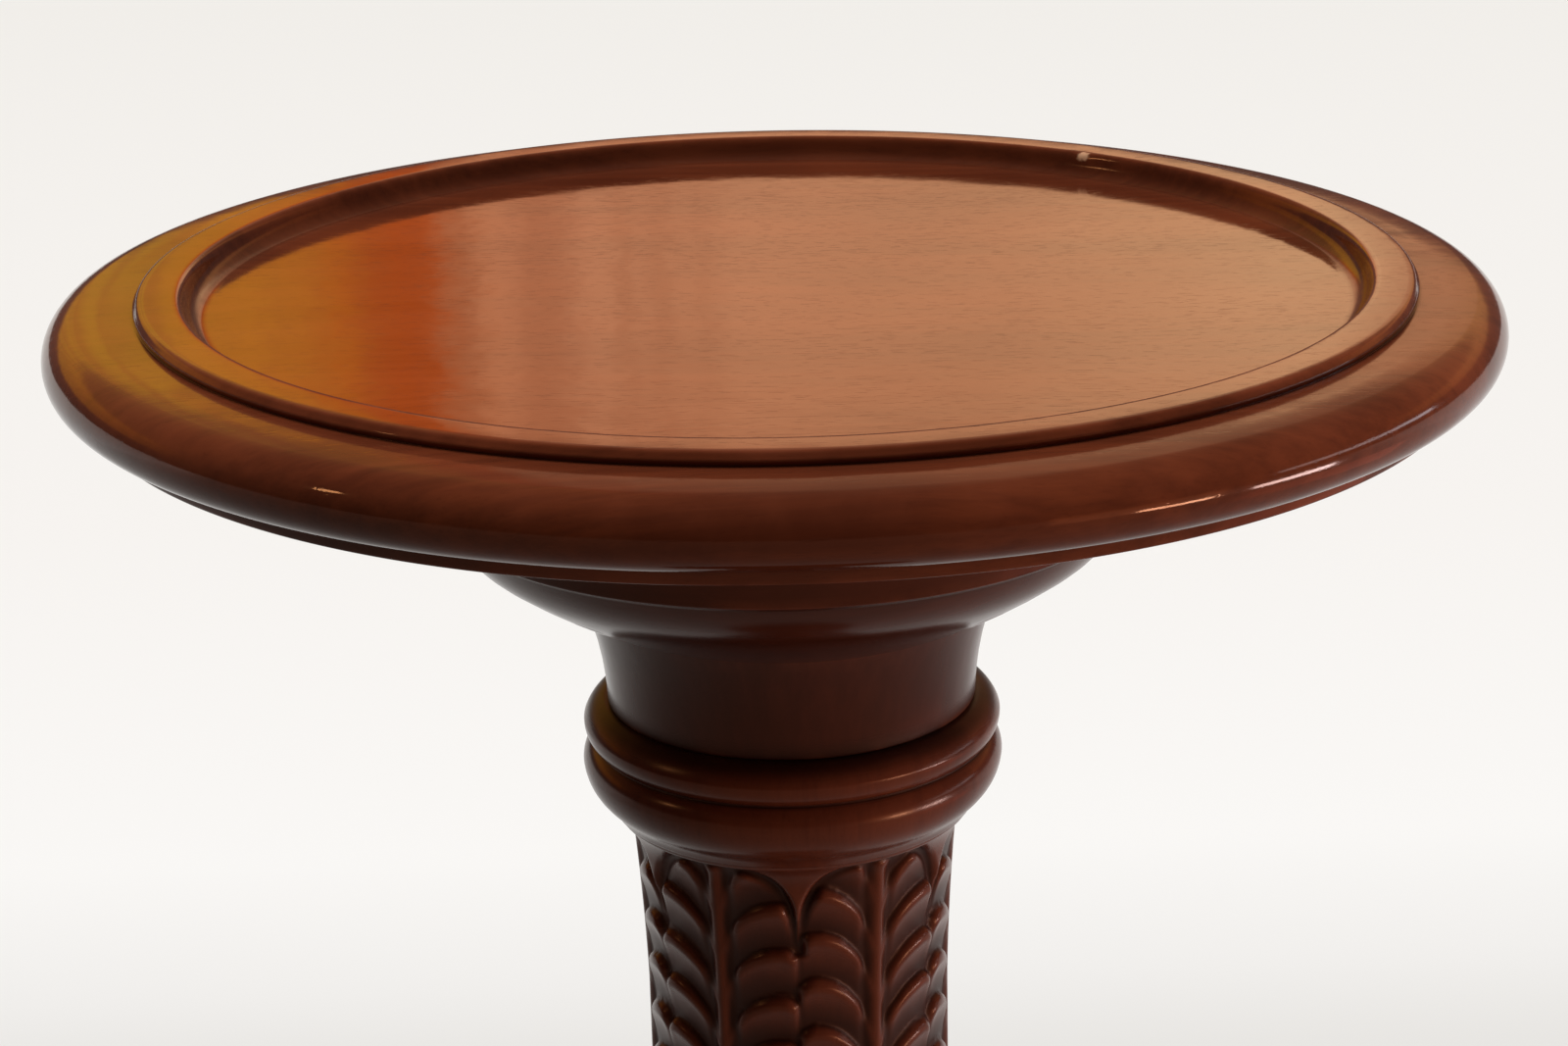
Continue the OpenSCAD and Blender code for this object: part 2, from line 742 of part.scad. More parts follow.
module bun_foot(angle) {
    waist = [foot_waist_r, -foot_collar_h - foot_quirk_h];
    fullest = [foot_r, -foot_full_drop];
    sole = [foot_sole_r, -foot_h];
    outline = concat(
        [[0, 0], [foot_collar_r, 0], [foot_collar_r, -foot_collar_h], [foot_waist_r, -foot_collar_h], waist],
        swell(waist, fullest),
        tuck(fullest, sole),
        [[0, -foot_h]]
    );
    color(wood) rotate([0, 0, angle]) translate([foot_circle_r, 0, 0]) difference() {
        union() {
            translate([0, 0, plinth_z]) turned(outline);
            translate([0, 0, plinth_z]) cylinder(r = foot_spigot_r, h = foot_spigot_l);
        }
        hole(nail_r, glide_t - sliver, glide_t + nail_l);
    }
}

module front_foot() {
    bun_foot(foot_angles[0]);
}

module right_foot() {
    bun_foot(foot_angles[1]);
}

module left_foot() {
    bun_foot(foot_angles[2]);
}

module foot_glides() {
    nail_tip_l = 2 * nail_r;
    color(steel) each_foot() turned([
        [0, 0], [glide_r - glide_ease, 0], [glide_r, glide_ease], [glide_r, glide_t],
        [nail_r, glide_t], [nail_r, glide_t + nail_l - nail_tip_l], [0, glide_t + nail_l]
    ]);
}

top();
under_collar();
collar_screws();
collar_plugs();
neck();
upper_ring();
column();
lower_ring();
lower_neck();
socle();
step_disc();
plinth_front_board();
plinth_middle_board();
plinth_back_board();
plinth_tongues();
plinth_screws();
coach_screw();
coach_washer();
front_foot();
left_foot();
right_foot();
foot_glides();
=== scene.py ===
import math

import bpy
import numpy as np
from mathutils import Matrix


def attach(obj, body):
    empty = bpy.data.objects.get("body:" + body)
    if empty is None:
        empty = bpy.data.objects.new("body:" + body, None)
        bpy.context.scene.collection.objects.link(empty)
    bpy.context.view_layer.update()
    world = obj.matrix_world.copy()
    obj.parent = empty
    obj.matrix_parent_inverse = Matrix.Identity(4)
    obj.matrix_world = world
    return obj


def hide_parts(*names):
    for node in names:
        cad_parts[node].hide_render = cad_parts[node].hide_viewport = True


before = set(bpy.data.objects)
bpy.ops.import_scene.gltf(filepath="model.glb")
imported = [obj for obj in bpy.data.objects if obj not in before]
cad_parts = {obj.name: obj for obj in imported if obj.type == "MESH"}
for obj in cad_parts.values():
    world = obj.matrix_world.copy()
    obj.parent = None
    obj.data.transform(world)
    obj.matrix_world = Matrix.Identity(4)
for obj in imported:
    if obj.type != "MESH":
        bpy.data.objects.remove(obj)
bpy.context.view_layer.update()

# Outlines are written in millimetres and the meshes in metres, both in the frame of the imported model.
MM = 0.001

# Heights of the tops of the turned pieces, and of the ends of the carved part of the column.
TOP_Z, COLLAR_Z, NECK_Z, UPPER_RING_Z, COLUMN_TOP_Z = 1050.0, 1028.4, 973.0, 947.5, 920.0
COLUMN_FOOT_Z, LOWER_NECK_TOP_Z, SOCLE_Z = 245.0, 217.5, 192.0
STEP_Z, PLINTH_Z, FOOT_Z = 106.0, 86.0, 46.0
SPIGOT_R, BORE_R, SPIGOT_TOP_Z, SPIGOT_FOOT_Z = 15.0, 15.15, 1035.4, 71.5
# Distance of the plinth's two joints from its middle, and radius of the circle that the feet stand on.
JOINT_Y, FOOT_CIRCLE_R = 45.0, 135.0


# Outlines.

def line(a, b):
    """The two ends of a straight stretch of an outline."""
    return np.array([a, b], float)


def bow(a, b, swelling, n=60):
    """From a to b along a parabola that stands out by swelling at its middle, on the left-hand side."""
    a, b = np.array(a, float), np.array(b, float)
    t = np.linspace(0, 1, n)[:, None]
    side = np.array([a[1] - b[1], b[0] - a[0]]) / np.hypot(*(b - a))
    return a + (b - a) * t + side * swelling * 4 * t * (1 - t)


def swell(a, b, n=60):
    """A quarter of an ellipse that leaves a level and reaches b upright."""
    t = np.linspace(0, math.pi / 2, n)
    return np.stack([a[0] + (b[0] - a[0]) * np.sin(t), b[1] + (a[1] - b[1]) * np.cos(t)], 1)


def tuck(a, b, n=60):
    """A quarter of an ellipse that leaves a upright and reaches b level."""
    t = np.linspace(0, math.pi / 2, n)
    return np.stack([b[0] + (a[0] - b[0]) * np.cos(t), a[1] + (b[1] - a[1]) * np.sin(t)], 1)


def upside_down(outline, height):
    """The same outline turned over: each height z becomes -height - z, and the order is reversed."""
    return np.stack([outline[::-1, 0], -height - outline[::-1, 1]], 1)


def blurred(values, width):
    """Each value becomes the bell-weighted mean of its neighbours; past the ends the values go on mirrored."""
    reach = int(4 * width) + 1
    weight = np.exp(-0.5 * (np.arange(-reach, reach + 1) / width) ** 2)
    before, after = values[reach:0:-1], values[-2:-reach - 2:-1]
    long = np.concatenate([2 * values[0] - before, values, 2 * values[-1] - after])
    return np.convolve(long, weight / weight.sum(), "valid")


WALK_STEP = 0.06    # how finely an outline is walked
WIDE_BLUR = 1.6     # blur that a place is compared with, to tell how hollow or how sharp it is
HOLLOW_FULL, SHARP_FULL = 0.45, 0.4     # how far that blur moves a place that counts as fully hollow or sharp
CORNER_SHADE = 3.0   # how far painted shade reaches round a corner between two pieces
LONG_GAP, TURN_GAP, MOST_ROWS = 9.0, 0.16, 6.5  # millimetres and radians between rows, and rows per millimetre


def softened(outline, top_z, rounding=0.28, corner=None):
    """Rows of a turned piece: the outline is walked in small steps, its arrises are blurred by the given rounding,
    and rows are then taken close together where it bends and far apart where it is straight. corner is the height, on
    the outline, of the hollow corner that the piece makes with its neighbour, where the colour is darkened as painted
    shade. Returns radius, height, how hollow the place is and how sharp it stands out, each as one array."""
    leg = np.hypot(*np.diff(outline, axis=0).T)
    outline = outline[np.r_[True, leg > 1e-6]]
    way = np.r_[0, np.cumsum(np.hypot(*np.diff(outline, axis=0).T))]
    s = np.linspace(0, way[-1], int(way[-1] / WALK_STEP) + 2)
    r, z = np.interp(s, way, outline[:, 0]), np.interp(s, way, outline[:, 1])
    ends = r[0], z[0], r[-1], z[-1]
    r, z = blurred(r, rounding / WALK_STEP), blurred(z, rounding / WALK_STEP)
    r[0], z[0], r[-1], z[-1] = ends
    dr, dz = np.gradient(r, s), np.gradient(z, s)
    turn = np.abs(np.gradient(np.unwrap(np.arctan2(dz, dr)), s))
    wide_r, wide_z = blurred(r, WIDE_BLUR / WALK_STEP), blurred(z, WIDE_BLUR / WALK_STEP)
    out = ((wide_r - r) * -dz + (wide_z - z) * dr) / np.maximum(np.hypot(dr, dz), 1e-6)
    hollow, sharp = np.clip(out / HOLLOW_FULL, 0, 1), np.clip(-out / SHARP_FULL, 0, 1)
    # Painted shade: the colour darkens towards the corner with the neighbouring piece.
    if corner is not None:
        hollow = np.maximum(hollow, np.exp(-((z - corner) / CORNER_SHADE) ** 2))
    # Rows per millimetre: they draw together about a millimetre before a bend.
    crowd = 1 / LONG_GAP + np.minimum(turn / TURN_GAP, MOST_ROWS)
    crowd = np.maximum(crowd, 0.55 * blurred(crowd, 1.0 / WALK_STEP))
    count = np.r_[0, np.cumsum(0.5 * (crowd[1:] + crowd[:-1]) * np.diff(s))]
    at = np.interp(np.linspace(0, count[-1], int(count[-1]) + 2), count, s)
    take = lambda v: np.interp(at, s, v)
    return take(r), take(z) + top_z, take(hollow), take(sharp)


# Meshes.

def put_mesh(name, points, faces, marks=None, sharp_angle=None):
    """A mesh object at the origin, from points in millimetres and a list of face arrays of one width each.
    marks are the numbers kept at each point, such as how hollow it is."""
    corners = np.concatenate([f.ravel() for f in faces]).astype(np.int32)
    widths = np.concatenate([np.full(len(f), f.shape[1]) for f in faces])
    starts = (np.cumsum(widths) - widths).astype(np.int32)
    mesh = bpy.data.meshes.new(name)
    mesh.vertices.add(len(points))
    mesh.vertices.foreach_set("co", (points * MM).astype(np.float32).ravel())
    mesh.loops.add(len(corners))
    mesh.loops.foreach_set("vertex_index", corners)
    mesh.polygons.add(len(starts))
    mesh.polygons.foreach_set("loop_start", starts)
    mesh.update(calc_edges=True)
    mesh.polygons.foreach_set("use_smooth", np.ones(len(starts), bool))
    for mark, values in (marks or {}).items():
        mesh.attributes.new(mark, "FLOAT", "POINT").data.foreach_set("value", values.astype(np.float32).ravel())
    if sharp_angle:
        mesh.set_sharp_from_angle(angle=math.radians(sharp_angle))
    piece = bpy.data.objects.new(name, mesh)
    bpy.context.scene.collection.objects.link(piece)
    return piece


def wrapped_faces(rows, columns, ring=False):
    """Four-cornered faces of a grid whose columns close round; with ring the rows close round too. They face outward
    where rows run down the outside and columns run to the left round the axis, seen from above."""
    i, j = np.meshgrid(np.arange(rows if ring else rows - 1), np.arange(columns), indexing="ij")
    below, beside = (i + 1) % rows, (j + 1) % columns
    at = lambda a, b: a * columns + b
    return np.stack([at(i, j), at(below, j), at(below, beside), at(i, beside)], -1).reshape(-1, 4)


def pole_faces(rows, around):
    """Three-cornered faces that close the first and the last row of a grid to two more points, the poles, which
    follow the grid's own points."""
    j = np.arange(around)
    beside, last, top = (j + 1) % around, (rows - 1) * around, rows * around
    return [np.stack([np.full(around, top), j, beside], 1),
            np.stack([last + j, np.full(around, top + 1), last + beside], 1)]


def round_points(r, angle, z):
    """Points of a grid round the axis: (r cos angle, r sin angle, z), with one height for each row."""
    x, y = r * np.cos(angle), r * np.sin(angle)
    return np.stack([x, y, np.repeat(z[:, None], x.shape[1], 1)], -1).reshape(-1, 3)


def revolved(name, rows, around=256, dents=None, centre=(0.0, 0.0)):
    """A turned piece: point (row, angle) = (r cos angle, r sin angle, z). An outline that starts and ends on the axis
    gets one point at each pole; any other closes on itself, as a ring with a bore does."""
    r, z, hollow, sharp = rows
    solid = r[0] < 1e-6
    if solid:
        r, z, hollow, sharp = r[1:-1], z[1:-1], hollow[1:-1], sharp[1:-1]
    else:
        r, z, hollow, sharp = r[:-1], z[:-1], hollow[:-1], sharp[:-1]
    points = round_points(r[:, None], np.linspace(0, 2 * np.pi, around, endpoint=False), z)
    if dents:
        points = dents(points)
    marks = {"hollow": np.repeat(hollow, around), "sharp": np.repeat(sharp, around)}
    faces = [wrapped_faces(len(r), around, ring=not solid)]
    if solid:
        points = np.concatenate([points, [[0, 0, rows[1][0]], [0, 0, rows[1][-1]]]])
        marks = {k: np.r_[v, 0, 0] for k, v in marks.items()}
        faces += pole_faces(len(r), around)
    points[:, :2] += centre
    return put_mesh(name, points, faces, marks)


# Turned pieces.

NECK_H, RING_H = 25.5, 27.5
TOP = np.concatenate([
    line((0, -5.6), (126.5, -5.6)), bow((126.5, -5.6), (129.9, -1.6), -0.8),
    line((130.5, -0.3), (131.1, 0)), line((139.3, 0), (139.9, -0.6)), line((139.9, -1), (140.5, -1.3)),
    line((140.5, -2.2), (139.9, -2.8)), swell((151.9, -3.2), (160, -11.4)), bow((160, -11.4), (156, -17.4), 1.1),
    line((151.5, -17.9), (151.5, -21.6)), line((BORE_R, -21.6), (BORE_R, -14.4)), line((0, -14.4), (0, -14.4))])
COLLAR = np.concatenate([
    line((BORE_R, 0), (92, 0)), line((92, -5.4), (88.5, -5.4)), bow((88.5, -5.4), (80, -31.4), -2.5),
    bow((78.3, -32.25), (70.3, -42.45), 0.9), bow((70.3, -42.45), (49, -55.4), 0.6),
    line((BORE_R, -55.4), (BORE_R, 0))])
NECK = np.concatenate([line((BORE_R, 0), (47.5, 0)), bow((47.5, 0), (42.7, -NECK_H), -1.1),
                       line((BORE_R, -NECK_H), (BORE_R, 0))])
RING = np.concatenate([
    line((BORE_R, 0), (43.6, 0)), bow((43.6, 0), (48.4, -4.5), 0.8), bow((48.4, -4.5), (46, -9.6), 0.8),
    bow((46, -9.6), (48.9, -14.8), 0.8), bow((48.9, -14.8), (45.3, -22.5), 0.8),
    bow((45.3, -22.5), (42.4, -26.2), -0.3), line((41.9, -26.2), (41.9, -26.7)),
    line((41.4, -RING_H), (BORE_R, -RING_H)), line((BORE_R, 0), (BORE_R, 0))])
SOCLE = np.concatenate([
    line((BORE_R, 0), (50, 0)), line((50, -5), (51, -5)), bow((51, -5), (84, -48), -9),
    bow((86.5, -49.25), (104, -76), 7), line((102, -78), (102, -80)), line((106, -80), (106, -86)),
    line((BORE_R, -86), (BORE_R, 0))])
STEP = np.concatenate([
    line((BORE_R, 0), (120, 0)), swell((120, -2.5), (128, -10)), tuck((128, -10), (120, -17.5)),
    line((120, -20), (BORE_R, -20)), line((BORE_R, 0), (BORE_R, 0))])
PLINTH = np.concatenate([
    line((149, 0), (149, -4)), line((150, -4), (159, -5.6)), swell((159, -5.6), (172, -21)),
    bow((172, -21), (167, -33), 1.4), line((163, -34), (163, -40))])
FOOT = np.concatenate([
    line((0, 0), (28, 0)), line((28, -6), (24, -6)), swell((24, -8), (36, -24)), tuck((36, -24), (20, -42)),
    line((20, -42), (0, -42))])

KNOCK_X, KNOCK_Y, KNOCK_R, KNOCK_DEPTH, KNOCK_REACH = 77.0, 104.5, 1.6, 0.7, 2.5


def chipped_lip(points):
    """Takes a small knock out of the back of the lip: near its middle the points go down along a bell curve, and in by
    0.4 of that. Only the uppermost 2.5 mm of the board take part."""
    away = np.hypot(points[:, 0] - KNOCK_X, points[:, 1] - KNOCK_Y) / KNOCK_R
    depth = KNOCK_DEPTH * np.exp(-away ** 2) * (points[:, 2] > TOP_Z - KNOCK_REACH)
    out = np.hypot(points[:, 0], points[:, 1])[:, None]
    return points - np.c_[points[:, :2] / np.maximum(out, 1) * 0.4 * depth[:, None], depth]


# Each new piece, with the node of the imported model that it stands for.
made = [(revolved("board_of_top", softened(TOP, TOP_Z, 0.4), 360, chipped_lip), "top")]
for name, outline, top_z, corner, node in (
        ("bowl_collar", COLLAR, COLLAR_Z, None, "under_collar"),
        ("hollow_neck", NECK, NECK_Z, -NECK_H, "neck"),
        ("double_ring", RING, UPPER_RING_Z, 0, "upper_ring"),
        ("foot_ring", upside_down(RING, RING_H), COLUMN_FOOT_Z, -RING_H, "lower_ring"),
        ("foot_neck", upside_down(NECK, NECK_H), LOWER_NECK_TOP_Z, 0, "lower_neck"),
        ("bell_socle", SOCLE, SOCLE_Z, None, "socle"),
        ("round_step", STEP, STEP_Z, None, "step_disc")):
    made.append((revolved(name, softened(outline, top_z, corner=corner)), node))
for node, angle in (("front_foot", -90), ("right_foot", 30), ("left_foot", 150)):
    place = FOOT_CIRCLE_R * math.cos(math.radians(angle)), FOOT_CIRCLE_R * math.sin(math.radians(angle))
    made.append((revolved("bun_" + node, softened(FOOT, FOOT_Z), 128, centre=place), node))


# Carved column.

FROND = 30.0        # degrees from the middle of a stem to the edge of its frond
LEAF_PITCH = 12.0   # one leaf above the next
LEAF_CREST = 0.80   # where a leaf is highest, as a share of the way from its stem to the edge of the frond
CLIMB = 0.76        # share of the pitch over which the wood climbs, before the rolled edge
ARCH_FOOT_Z, ARCH_H, ARCH_W = 896.0, 22.6, 0.945
ROUNDNESS = 2.7     # how square the shoulders of the arch are; 2 would be an ellipse
HALF_W = 18.85      # from a stem to the edge of its frond, round the column
RELIEF = 2.3        # how deep the ground of the carving lies
# A leaf's upper edge is two quarter rounds that meet at its crest. For each half frond, from the back by the left and
# the front: how high the crest of its upper leaf lies, and how tall the round towards the stem is. OUTER_FALL is how
# tall the other one is, and the last two values are how wide the two are, as shares of the way out.
LEAF_TOPS = np.array([911, 908.5, 912, 910.5, 909, 910, 914, 907.4, 909.5, 911.5, 908, 911])
LEAF_FALLS = np.array([20, 24, 22, 19, 22, 21, 30, 22, 23, 20, 24, 21])
OUTER_FALL, INNER_ROUND, OUTER_ROUND = 6.0, 0.84, 0.26


def step_up(value, low, high):
    """0 below low, 1 above high, and a smooth S between them."""
    t = np.clip((value - low) / (high - low), 0, 1)
    return t * t * (3 - 2 * t)


FLARE_H, TAPER_H = 7.0, 39.0    # heights of the flare at the column's ends and of the hollow after it


def column_girth(z):
    """Radius of the uncut column: a short flare from 41 mm at each end down to 38.4 mm, and then a shallow hollow
    down to 36.3 mm, which the middle keeps."""
    from_end = np.minimum(COLUMN_TOP_Z - z, z - COLUMN_FOOT_Z)
    flare = np.clip(1 - from_end / FLARE_H, 0, 1)
    t = np.clip((from_end - FLARE_H) / TAPER_H, 0, 1)
    return 38.4 + 2.6 * flare ** 2 - 2.1 * t - 0.3 * 4 * t * (1 - t)


def carving(turn, z):
    """How much wood is left at an angle from the front, in degrees, and a height: 1 is uncut and 0 the deepest ground.
    Six fronds stand side by side. A frond is a stem with a ladder of leaves on both sides. The upper edge of a leaf
    leaves the stem steeply, rounds over at four fifths of the way out, and drops to the edge of the frond.
    Up a leaf the wood climbs out of a deep cut, to a rolled edge that falls into the next cut. Each frond ends
    in a round-shouldered arch with a narrow slot round it, and the uncut wood between two arches is a pointed dart."""
    half = np.clip(((turn + 180) // 30).astype(int), 0, 11)
    from_stem = np.abs((turn + 180) % 60 - 30) / FROND
    across = from_stem * HALF_W
    inward = HALF_W - across
    inside = from_stem < LEAF_CREST
    x = np.where(inside, (LEAF_CREST - from_stem) / INNER_ROUND, (from_stem - LEAF_CREST) / OUTER_ROUND)
    fall = 1 - np.sqrt(1 - np.clip(x, 0, 0.985) ** 2)
    edge_z = LEAF_TOPS[half] - np.where(inside, LEAF_FALLS[half], OUTER_FALL) * fall
    # Up the ladder of leaves: t runs from 0 in one cut to 1 in the next, and no leaf is quite as high as another.
    climb = (z - edge_z) / LEAF_PITCH
    wobble = 0.035 * np.sin(2.3 * np.floor(climb) + 1.7 * half)
    t = climb + wobble - np.floor(climb + wobble)
    rise = np.clip(t / CLIMB, 0, 1)
    body = 0.12 + 0.88 * (0.45 * rise + 0.55 * rise ** 2.4)
    roll = np.clip((t - CLIMB) / (1 - CLIMB), 0, 1)
    leaf = np.where(t < CLIMB, body, 0.12 + 0.88 * np.sqrt(np.maximum(1 - roll ** 2.4, 0)))
    # Out along a leaf: it rises from the stem, has a groove beside the stem, and is rounded at its tip.
    leaf *= 0.70 + 0.30 * step_up(from_stem, 0.1, 0.75)
    tip = np.sqrt(np.maximum(1 - (1 - np.clip(inward / 2.8, 0, 1)) ** 2, 0))
    leaf *= 0.42 + 0.58 * tip
    leaf *= 1 - 0.55 * np.exp(-((across - 3.1) / 1.1) ** 2)
    stem = 0.80 * np.exp(-(across / 2.0) ** 2.6)
    frond = np.maximum(leaf, stem)
    # The arch that ends a frond, the slot round it and the dart between two arches, with plain wood at both ends.
    up = np.maximum(z - ARCH_FOOT_Z, 0) / ARCH_H
    ring = ((from_stem / ARCH_W) ** ROUNDNESS + up ** ROUNDNESS) ** (1 / ROUNDNESS)
    outside = (ring - 1) * 18
    slot = 0.8 + 0.4 * step_up(z, 900, 912)
    shoulder = np.sqrt(np.maximum(1 - (1 - np.clip(-outside / 1.3, 0, 1)) ** 2, 0))
    arch = frond * (0.1 + 0.9 * shoulder)
    dart = 0.97 * step_up(outside, slot, slot + 0.6) * step_up(z, 897.5, 900)
    height = np.where(z > ARCH_FOOT_Z, np.maximum(arch, dart), frond)
    top = step_up(z, COLUMN_TOP_Z - 1.0, COLUMN_TOP_Z - 0.5)
    height = height * (1 - top) + top
    foot = step_up(z, COLUMN_FOOT_Z + 7.5, COLUMN_FOOT_Z + 8.7)
    return height * foot + (1 - foot)


def spread_out(grid, across_rows, across_columns):
    """A small bell blur of a grid: a few shifted copies are added with bell weights, and its columns close round."""
    for axis, width in ((0, across_rows), (1, across_columns)):
        reach = int(np.ceil(2.5 * width))
        weight = np.exp(-0.5 * (np.arange(-reach, reach + 1) / max(width, 0.1)) ** 2)
        wide = np.pad(grid, [(reach, reach) if axis == 0 else (0, 0)] + [(0, 0) if axis == 0 else (reach, reach)],
                      mode="edge" if axis == 0 else "wrap")
        size = grid.shape[axis]
        grid = sum(w * (wide[k:k + size] if axis == 0 else wide[:, k:k + size])
                   for k, w in enumerate(weight / weight.sum()))
    return grid


THIN_ROW = 0.02     # height of a thin row, as a share of a plain one's


def column_part(name, z_high, z_low, spacing, over=None, under=None, around=480):
    """One length of the column, as a closed grid: point (row, angle) lies at the girth less the cut depth. A thin first
    and last row keep the shading straight up to the joint. over and under are the (radius, height) rows of a spigot."""
    margin = 6      # rows past both ends, for the blurs
    n = int(round((z_high - z_low) / spacing)) + 1
    step = (z_high - z_low) / (n - 1)
    z = z_high - step * np.arange(-margin, n + margin)
    turn = np.linspace(-180, 180, around, endpoint=False)
    tt, zz = np.meshgrid(turn, np.clip(z, COLUMN_FOOT_Z, COLUMN_TOP_Z))
    left = spread_out(carving(tt, zz), 0.36 / step, 0.8)
    wide = spread_out(left, 1.3 / step, 2.8)
    girth = column_girth(np.clip(z, COLUMN_FOOT_Z, COLUMN_TOP_Z))[:, None]
    r = girth - RELIEF * (1 - left)
    keep = slice(margin, margin + n)
    r, z, left, wide = r[keep], z[keep], left[keep], wide[keep]
    # The colour is painted darker where the cut is deep or lies below what is round it: painted shade in the recesses,
    # with some old polish gathered there.
    hollow = np.clip(1.15 - 1.3 * left + 0.9 * (wide - left), 0, 1)
    sharp = np.clip(2.4 * (left - wide), 0, 1)
    thin = lambda g: np.concatenate([g[:1], g[:1] + (g[1:2] - g[:1]) * THIN_ROW, g[1:-1],
                                     g[-1:] + (g[-2:-1] - g[-1:]) * THIN_ROW, g[-1:]])
    r, z, hollow, sharp = (thin(g) for g in (r, z, hollow, sharp))
    over = over or [(SPIGOT_R, z_high)]
    under = under or [(SPIGOT_R, z_low)]
    flat = lambda pairs: (np.array([[p[0]] * around for p in pairs], float), np.array([p[1] for p in pairs], float))
    r_over, z_over = flat(over)
    r_under, z_under = flat(under)
    r, z = np.concatenate([r_over, r, r_under]), np.concatenate([z_over, z, z_under])
    pad = lambda g: np.concatenate([np.zeros_like(r_over), g, np.zeros_like(r_under)]).ravel()
    marks = {"hollow": np.r_[pad(hollow), 0, 0], "sharp": np.r_[pad(sharp), 0, 0]}
    points = np.concatenate([round_points(r, np.radians(turn - 90), z), [[0, 0, z[0]], [0, 0, z[-1]]]])
    return put_mesh(name, points, [wrapped_faces(len(z), around)] + pole_faces(len(z), around), marks)


spigot_up = [(SPIGOT_R - 1, SPIGOT_TOP_Z), (SPIGOT_R, SPIGOT_TOP_Z - 1), (SPIGOT_R, COLUMN_TOP_Z)]
spigot_down = [(SPIGOT_R, COLUMN_FOOT_Z), (SPIGOT_R, SPIGOT_FOOT_Z + 1), (SPIGOT_R - 1, SPIGOT_FOOT_Z)]
# The column is made in five lengths, so that none has too many faces. The rows of the first lie closest.
cuts = [COLUMN_TOP_Z, 850, 700, 550, 400, COLUMN_FOOT_Z]
CLOSE_ROWS, WIDE_ROWS = 0.4, 0.78
for k in range(5):
    made.append((column_part("carved_column_%d" % (k + 1), cuts[k], cuts[k + 1], WIDE_ROWS if k else CLOSE_ROWS,
                             spigot_up if k == 0 else None, spigot_down if k == 4 else None), "column"))


# Plinth boards.

def outer_board(name, side):
    """The front or back board of the plinth. Point (row, t) lies at radius r and at the angle that runs from one end
    of the straight joint to the other; the flat face of the joint is one face through the ends of all rows."""
    r, z, hollow, sharp = softened(np.concatenate([line((JOINT_Y + 1, 0), (149, 0)), PLINTH,
                                                   line((163, -40), (JOINT_Y + 1, -40))]), PLINTH_Z)
    around = 160
    half = np.arccos(np.clip(JOINT_Y / r, -1, 1))[:, None]
    t = np.linspace(-1, 1, around)[None, :]
    rows = len(r)
    points = round_points(r[:, None], side * math.pi / 2 + half * t, z)
    points[:, 1] = side * np.maximum(side * points[:, 1], JOINT_Y)
    i, j = np.meshgrid(np.arange(rows - 1), np.arange(around - 1), indexing="ij")
    at = lambda a, b: a * around + b
    skin = np.stack([at(i, j), at(i + 1, j), at(i + 1, j + 1), at(i, j + 1)], -1).reshape(-1, 4)
    i = np.arange(rows)
    ends = np.r_[at(i, around - 1), at(i[::-1], 0)][None, ::-1]
    inner_top = np.arange(around)[None, :]
    inner_foot = at(rows - 1, np.arange(around))[None, ::-1]
    marks = {"hollow": np.repeat(hollow, around), "sharp": np.repeat(sharp, around)}
    return put_mesh(name, points, [skin, ends, inner_top, inner_foot], marks, 40)


def middle_board(name):
    """The middle board of the plinth: the loop of its cross-section, x = the square root of r2 - y2 on both sides,
    is carried from one joint to the other and closed with one flat face at each."""
    r, z, hollow, sharp = softened(PLINTH, PLINTH_Z)
    y = np.linspace(-JOINT_Y, JOINT_Y, 25)
    x = np.sqrt(r[None, :] ** 2 - y[:, None] ** 2)
    loop_x = np.concatenate([x, -x[:, ::-1]], 1)
    loop_z = np.r_[z, z[::-1]]
    rows, around = loop_x.shape
    points = np.stack([loop_x, np.repeat(y[:, None], around, 1), np.repeat(loop_z[None, :], rows, 0)],
                      -1).reshape(-1, 3)
    skin = wrapped_faces(rows, around)[:, ::-1]
    front = np.arange(around)[None, ::-1]
    back = (rows - 1) * around + np.arange(around)[None, :]
    marks = {"hollow": np.tile(np.r_[hollow, hollow[::-1]], rows), "sharp": np.tile(np.r_[sharp, sharp[::-1]], rows)}
    return put_mesh(name, points, [skin, front, back], marks, 40)


made += [(outer_board("plinth_front", -1), "plinth_front_board"), (outer_board("plinth_back", 1), "plinth_back_board"),
         (middle_board("plinth_middle"), "plinth_middle_board")]


# Node helpers.

def add(tree, kind, settings=None, **sockets):
    """Adds a node. Each socket gets a value, or is joined where the value is another node's output."""
    made_node = tree.nodes.new(kind)
    for key, value in (settings or {}).items():
        setattr(made_node, key, value)
    for key, value in sockets.items():
        socket = made_node.inputs[int(key[1:])] if key[1:].isdigit() else made_node.inputs[key.replace("_", " ")]
        if isinstance(value, bpy.types.NodeSocket):
            tree.links.new(value, socket)
        else:
            socket.default_value = value
    return made_node


def sums(tree, operation, a, b=0.0, c=0.0):
    """One Math node on up to three numbers or outputs."""
    return add(tree, "ShaderNodeMath", {"operation": operation}, _0=a, _1=b, _2=c).outputs[0]


def mixed(tree, share, a, b):
    """Colour a where share is 0 and colour b where it is 1. Its colours are the mix node's sockets 6 and 7."""
    return add(tree, "ShaderNodeMix", {"data_type": "RGBA"}, _0=share, _6=a, _7=b).outputs[2]


def spread(tree, value, low, high, to_low=0.0, to_high=1.0):
    """Maps low..high to to_low..to_high with a smooth S, and stops at both ends."""
    return add(tree, "ShaderNodeMapRange", {"interpolation_type": "SMOOTHSTEP"}, Value=value, From_Min=low,
               From_Max=high, To_Min=to_low, To_Max=to_high).outputs[0]


